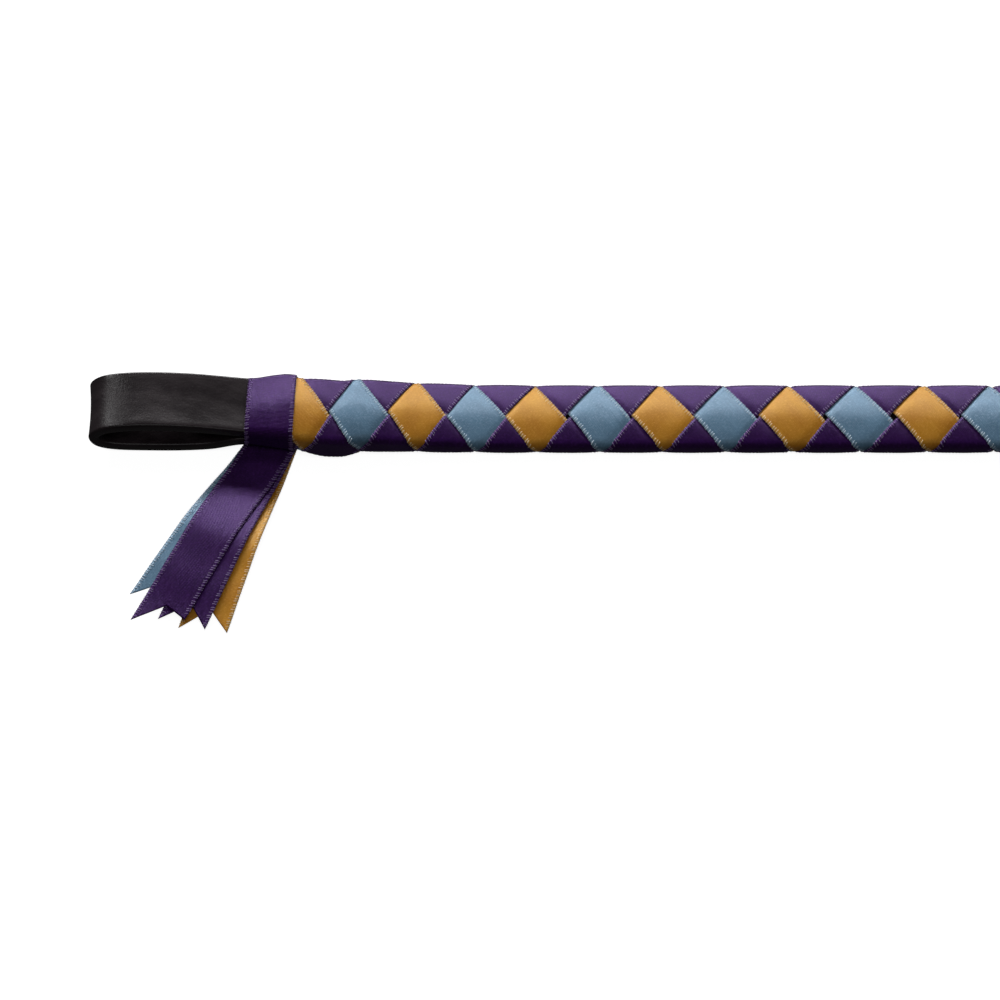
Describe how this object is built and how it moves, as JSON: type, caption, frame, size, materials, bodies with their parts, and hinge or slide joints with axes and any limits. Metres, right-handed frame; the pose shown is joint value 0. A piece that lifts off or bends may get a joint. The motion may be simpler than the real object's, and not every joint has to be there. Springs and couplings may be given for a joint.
{
  "type": "ribbon browband",
  "caption": "Leather bridle browband with looped ends, wrapped in a diamond plait of satin ribbons, with ribbon collars and hanging fishtail ribbon tails.",
  "frame": {"origin": "mid-length of the band, on the surface that the band lies on, under the middle of its width", "axes": "+X along the band towards the wearer's one ear, +Y across the band towards its upper edge, +Z out of its front face"},
  "size_m": [0.42, 0.0725, 0.0112],
  "materials": {
    "black_leather": "polished black bridle leather with a soft gloss",
    "blue_satin": "satin ribbon, soft sheen, woven selvages",
    "orange_satin": "satin ribbon, soft sheen, woven selvages",
    "purple_satin": "satin ribbon, soft sheen, woven selvages",
    "purple_thread": "twisted sewing thread",
    "dark_thread": "waxed linen thread"
  },
  "bodies": {
    "band": {"leather_strap": "black_leather", "blue_ribbon": "blue_satin", "orange_ribbon": "orange_satin", "purple_ribbon_1": "purple_satin", "purple_ribbon_2": "purple_satin", "left_turnback_stitches": "dark_thread", "left_collar": "purple_satin", "left_collar_stitches": "purple_thread", "left_tail_tack": "purple_thread", "right_turnback_stitches": "dark_thread", "right_collar": "purple_satin", "right_collar_stitches": "purple_thread", "right_tail_tack": "purple_thread"},
    "left_orange_tail_body": {"left_orange_tail": "orange_satin"},
    "left_blue_tail_body": {"left_blue_tail": "blue_satin"},
    "left_purple_tail_back_body": {"left_purple_tail_back": "purple_satin"},
    "left_purple_tail_front_body": {"left_purple_tail_front": "purple_satin"},
    "right_orange_tail_body": {"right_orange_tail": "orange_satin"},
    "right_blue_tail_body": {"right_blue_tail": "blue_satin"},
    "right_purple_tail_back_body": {"right_purple_tail_back": "purple_satin"},
    "right_purple_tail_front_body": {"right_purple_tail_front": "purple_satin"}
  },
  "joints": [
    {"name": "left_orange_tail_swing", "type": "hinge", "parent": "band", "child": "left_orange_tail_body", "pos_m": [-0.1635, -0.0055, 0.00063], "axis": [0, 0, -1], "range_deg": [-24.7, 31.3]},
    {"name": "left_blue_tail_swing", "type": "hinge", "parent": "band", "child": "left_blue_tail_body", "pos_m": [-0.1635, -0.0055, 0.00108], "axis": [0, 0, -1], "range_deg": [-39.4, 16.6]},
    {"name": "left_purple_tail_back_swing", "type": "hinge", "parent": "band", "child": "left_purple_tail_back_body", "pos_m": [-0.1635, -0.0055, 0.00153], "axis": [0, 0, -1], "range_deg": [-29.9, 26.1]},
    {"name": "left_purple_tail_front_swing", "type": "hinge", "parent": "band", "child": "left_purple_tail_front_body", "pos_m": [-0.1635, -0.0055, 0.00198], "axis": [0, 0, -1], "range_deg": [-35.4, 20.6]},
    {"name": "right_orange_tail_swing", "type": "hinge", "parent": "band", "child": "right_orange_tail_body", "pos_m": [0.1635, -0.0055, 0.00063], "axis": [0, 0, 1], "range_deg": [-24.7, 31.3]},
    {"name": "right_blue_tail_swing", "type": "hinge", "parent": "band", "child": "right_blue_tail_body", "pos_m": [0.1635, -0.0055, 0.00108], "axis": [0, 0, 1], "range_deg": [-39.4, 16.6]},
    {"name": "right_purple_tail_back_swing", "type": "hinge", "parent": "band", "child": "right_purple_tail_back_body", "pos_m": [0.1635, -0.0055, 0.00153], "axis": [0, 0, 1], "range_deg": [-29.9, 26.1]},
    {"name": "right_purple_tail_front_swing", "type": "hinge", "parent": "band", "child": "right_purple_tail_front_body", "pos_m": [0.1635, -0.0055, 0.00198], "axis": [0, 0, 1], "range_deg": [-35.4, 20.6]}
  ]
}
